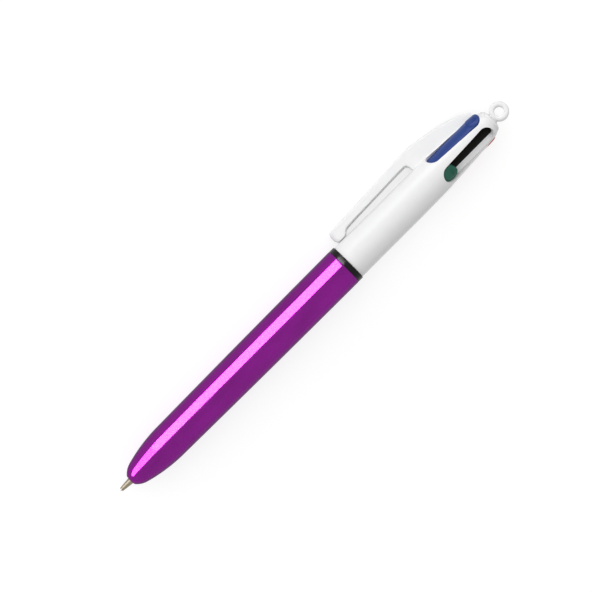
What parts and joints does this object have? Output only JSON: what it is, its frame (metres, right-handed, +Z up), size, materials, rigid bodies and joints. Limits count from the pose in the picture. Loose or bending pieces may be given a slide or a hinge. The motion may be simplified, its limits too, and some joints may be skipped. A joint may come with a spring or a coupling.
{
  "type": "multicolour ballpoint pen",
  "caption": "Slim retractable ballpoint pen with a colour slider per refill, a pocket clip and a lanyard ring, lying on its side.",
  "frame": {"origin": "middle of the pen's box on the surface that it lies on", "axes": "+X along the pen from the writing point to the lanyard ring, +Z up; the pocket clip points to +Y and rests on the surface with the barrel"},
  "size_m": [0.1468, 0.0158, 0.0114],
  "materials": {
    "barrel_purple": "metallised purple, mirror gloss",
    "black_gloss": "gloss",
    "white_gloss": "gloss",
    "inner_plastic": "satin, dark, out of sight",
    "blue_gloss": "gloss",
    "green_gloss": "gloss",
    "red_gloss": "gloss",
    "slider_black": "gloss",
    "tube_plastic": "translucent natural plastic",
    "point_metal": "nickel-silver, turned",
    "ball_metal": "polished",
    "spring_steel": "drawn wire"
  },
  "bodies": {
    "barrel": {"front_barrel": "barrel_purple", "joint_ring": "black_gloss", "spring_guide": "inner_plastic", "upper_body": "white_gloss", "slider_core": "inner_plastic", "end_cap": "white_gloss", "spring_blue": "spring_steel", "spring_green": "spring_steel", "spring_red": "spring_steel", "spring_black": "spring_steel"},
    "clip": {"pocket_clip": "white_gloss"},
    "slider_blue": {"slider_blue": "blue_gloss"},
    "refill_blue": {"refill_tube_blue": "tube_plastic", "writing_point_blue": "point_metal", "writing_ball_blue": "ball_metal"},
    "slider_green": {"slider_green": "green_gloss"},
    "refill_green": {"refill_tube_green": "tube_plastic", "writing_point_green": "point_metal", "writing_ball_green": "ball_metal"},
    "slider_red": {"slider_red": "red_gloss"},
    "refill_red": {"refill_tube_red": "tube_plastic", "writing_point_red": "point_metal", "writing_ball_red": "ball_metal"},
    "slider_black": {"slider_black": "slider_black"},
    "refill_black": {"refill_tube_black": "tube_plastic", "writing_point_black": "point_metal", "writing_ball_black": "ball_metal"}
  },
  "joints": [
    {"name": "clip_bend", "type": "hinge", "parent": "barrel", "child": "clip", "pos_m": [0.0432, 0.00744, 0.00132], "axis": [0, -0.4109, -0.9117], "range_deg": [0, 5], "stiffness_Nm_per_rad": 0.3, "springref_deg": -2.86},
    {"name": "slide_blue", "type": "slide", "parent": "barrel", "child": "slider_blue", "axis": [-1, 0, 0], "range_m": [0, 0.014], "stiffness_N_per_m": 60, "springref_m": -0.01, "deforming": ["spring_blue", "refill_tube_blue", "writing_point_blue", "writing_ball_blue"]},
    {"name": "lean_blue", "type": "hinge", "parent": "slider_blue", "child": "refill_blue", "pos_m": [0.0386, 0.00053, 0.00672], "axis": [0, -0.3541, 0.9352], "range_deg": [0, 1.37]},
    {"name": "slide_green", "type": "slide", "parent": "barrel", "child": "slider_green", "axis": [-1, 0, 0], "range_m": [-0.014, 0], "stiffness_N_per_m": 60, "springref_m": -0.024, "deforming": ["spring_green", "refill_tube_green", "writing_point_green", "writing_ball_green"]},
    {"name": "lean_green", "type": "hinge", "parent": "slider_green", "child": "refill_green", "pos_m": [0.0246, -0.00327, 0.00844], "axis": [0, -0.9352, -0.3541], "range_deg": [-1.37, 0]},
    {"name": "slide_red", "type": "slide", "parent": "barrel", "child": "slider_red", "axis": [-1, 0, 0], "range_m": [0, 0.014], "stiffness_N_per_m": 60, "springref_m": -0.01, "deforming": ["spring_red", "refill_tube_red", "writing_point_red", "writing_ball_red"]},
    {"name": "lean_red", "type": "hinge", "parent": "slider_red", "child": "refill_red", "pos_m": [0.0386, -0.00499, 0.00464], "axis": [0, 0.3541, -0.9352], "range_deg": [0, 1.37]},
    {"name": "slide_black", "type": "slide", "parent": "barrel", "child": "slider_black", "axis": [-1, 0, 0], "range_m": [0, 0.014], "stiffness_N_per_m": 60, "springref_m": -0.01, "deforming": ["spring_black", "refill_tube_black", "writing_point_black", "writing_ball_black"]},
    {"name": "lean_black", "type": "hinge", "parent": "slider_black", "child": "refill_black", "pos_m": [0.0386, -0.00118, 0.00292], "axis": [0, 0.9352, 0.3541], "range_deg": [0, 1.37]}
  ],
  "couplings": [
    {"joint": "lean_blue", "follows": "slide_blue", "rad_per_m": 1.6986},
    {"joint": "lean_green", "follows": "slide_green", "rad_per_m": 1.6986},
    {"joint": "lean_red", "follows": "slide_red", "rad_per_m": 1.6986},
    {"joint": "lean_black", "follows": "slide_black", "rad_per_m": 1.6986}
  ]
}
